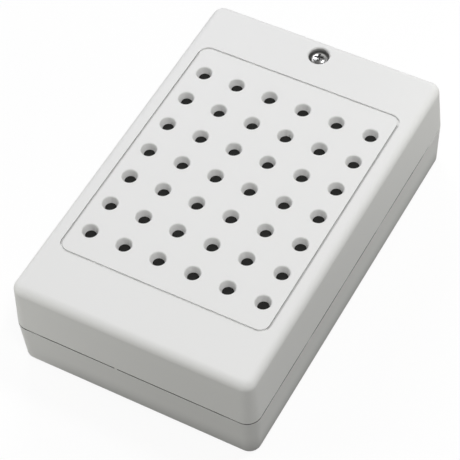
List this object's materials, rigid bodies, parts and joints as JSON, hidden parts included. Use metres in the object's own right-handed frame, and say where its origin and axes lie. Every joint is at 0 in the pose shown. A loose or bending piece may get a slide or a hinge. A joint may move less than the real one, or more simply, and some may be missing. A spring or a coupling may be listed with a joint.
{
  "type": "door chime",
  "caption": "Wired electronic door chime: shallow two-part rectangular case with a grille of tapered sound holes, a loudspeaker and a circuit board with screw terminals inside.",
  "frame": {"origin": "centre of the case's outline, on the face that goes against the wall", "axes": "+Z out of the grille face, +X across the case, +Y along it towards the end with the cover screw"},
  "size_m": [0.0702, 0.111, 0.03],
  "materials": {
    "case_plastic": "moulded ABS, off-white, fine satin texture",
    "bright_screw": "bright nickel plate",
    "zinc_screw": "bright zinc plate",
    "black_steel": "black stoved paint on pressed steel",
    "black_card": "black card ring",
    "black_paper": "black pressed paper cone",
    "black_cloth": "black doped cloth edge",
    "amber_cloth": "resin-stiffened cloth",
    "ferrite": "dark grey sintered ferrite",
    "zinc_plate": "zinc-plated steel",
    "kraft_paper": "brown kraft former",
    "copper_wire": "enamelled copper winding",
    "brown_board": "phenolic paper board",
    "tinned_metal": "bright tin plate",
    "red_insulation": "red PVC",
    "black_insulation": "black PVC",
    "green_plastic": "green nylon",
    "black_epoxy": "black moulded epoxy",
    "can_sleeve": "dark blue shrink sleeve",
    "disc_ceramic": "ochre dipped ceramic",
    "resistor_coat": "beige lacquer with colour bands",
    "trimmer_plastic": "blue moulded body",
    "white_rotor": "white moulded rotor"
  },
  "bodies": {
    "case": {"rear_case": "case_plastic", "speaker_basket": "black_steel", "speaker_gasket": "black_card", "speaker_top_plate": "zinc_plate", "speaker_magnet": "ferrite", "speaker_yoke": "zinc_plate", "speaker_spider": "amber_cloth", "speaker_surround": "black_cloth", "speaker_tag_board": "brown_board", "speaker_tags": "tinned_metal", "tag_rivet": "tinned_metal", "speaker_screws": "zinc_screw", "speaker_lead_red": "red_insulation", "speaker_lead_black": "black_insulation", "circuit_board": "brown_board", "board_screws": "zinc_screw", "terminal_block": "green_plastic", "terminal_pins": "tinned_metal", "melody_chip": "black_epoxy", "melody_chip_legs": "tinned_metal", "output_transistor": "black_epoxy", "transistor_legs": "tinned_metal", "reservoir_capacitor": "can_sleeve", "coupling_capacitor": "can_sleeve", "disc_capacitors": "disc_ceramic", "capacitor_legs": "tinned_metal", "resistors": "resistor_coat", "resistor_legs": "tinned_metal", "rectifier_diodes": "black_epoxy", "diode_legs": "tinned_metal", "volume_trimmer": "trimmer_plastic", "tune_switch": "zinc_plate"},
    "cover": {"front_cover": "case_plastic"},
    "screw": {"cover_screw": "bright_screw"},
    "cone": {"speaker_cone": "black_paper", "speaker_dust_cap": "black_paper", "coil_former": "kraft_paper", "coil_winding": "copper_wire"},
    "volume_rotor": {"volume_rotor": "white_rotor"},
    "tune_slider": {"tune_slider": "black_epoxy"},
    "terminal_screw_1": {"terminal_screw_1": "zinc_screw"},
    "terminal_clamp_1": {"terminal_clamp_1": "zinc_plate"},
    "terminal_screw_2": {"terminal_screw_2": "zinc_screw"},
    "terminal_clamp_2": {"terminal_clamp_2": "zinc_plate"},
    "terminal_screw_3": {"terminal_screw_3": "zinc_screw"},
    "terminal_clamp_3": {"terminal_clamp_3": "zinc_plate"}
  },
  "joints": [
    {"name": "cover_tilt", "type": "hinge", "parent": "case", "child": "cover", "pos_m": [0, -0.0555, 0.01455], "axis": [1, 0, 0], "range_deg": [0, 30]},
    {"name": "cover_screw_turn", "type": "hinge", "parent": "cover", "child": "screw", "pos_m": [0, 0.049, 0.02755], "axis": [0, 0, 1], "continuous": true},
    {"name": "cone_travel", "type": "slide", "parent": "case", "child": "cone", "axis": [0, 0, 1], "range_m": [-0.0005, 0.0005], "stiffness_N_per_m": 1500},
    {"name": "volume_turn", "type": "hinge", "parent": "case", "child": "volume_rotor", "pos_m": [0.0149, -0.0386, 0.01], "axis": [0, 0, 1], "range_deg": [-130, 130]},
    {"name": "tune_slide", "type": "slide", "parent": "case", "child": "tune_slider", "axis": [1, 0, 0], "range_m": [0, 0.002]},
    {"name": "terminal_screw_1_turn", "type": "hinge", "parent": "case", "child": "terminal_screw_1", "pos_m": [0.00632, 0.0369, 0.0145], "axis": [0, 0, 1], "range_deg": [0, 1082]},
    {"name": "terminal_clamp_1_lower", "type": "slide", "parent": "case", "child": "terminal_clamp_1", "axis": [0, 0, -1], "range_m": [0, 0.00135]},
    {"name": "terminal_screw_2_turn", "type": "hinge", "parent": "case", "child": "terminal_screw_2", "pos_m": [0.0114, 0.0369, 0.0145], "axis": [0, 0, 1], "range_deg": [0, 1082]},
    {"name": "terminal_clamp_2_lower", "type": "slide", "parent": "case", "child": "terminal_clamp_2", "axis": [0, 0, -1], "range_m": [0, 0.00135]},
    {"name": "terminal_screw_3_turn", "type": "hinge", "parent": "case", "child": "terminal_screw_3", "pos_m": [0.01648, 0.0369, 0.0145], "axis": [0, 0, 1], "range_deg": [0, 1082]},
    {"name": "terminal_clamp_3_lower", "type": "slide", "parent": "case", "child": "terminal_clamp_3", "axis": [0, 0, -1], "range_m": [0, 0.00135]}
  ],
  "couplings": [
    {"joint": "terminal_screw_1_turn", "follows": "terminal_clamp_1_lower", "rad_per_m": 13963},
    {"joint": "terminal_screw_2_turn", "follows": "terminal_clamp_2_lower", "rad_per_m": 13963},
    {"joint": "terminal_screw_3_turn", "follows": "terminal_clamp_3_lower", "rad_per_m": 13963}
  ]
}
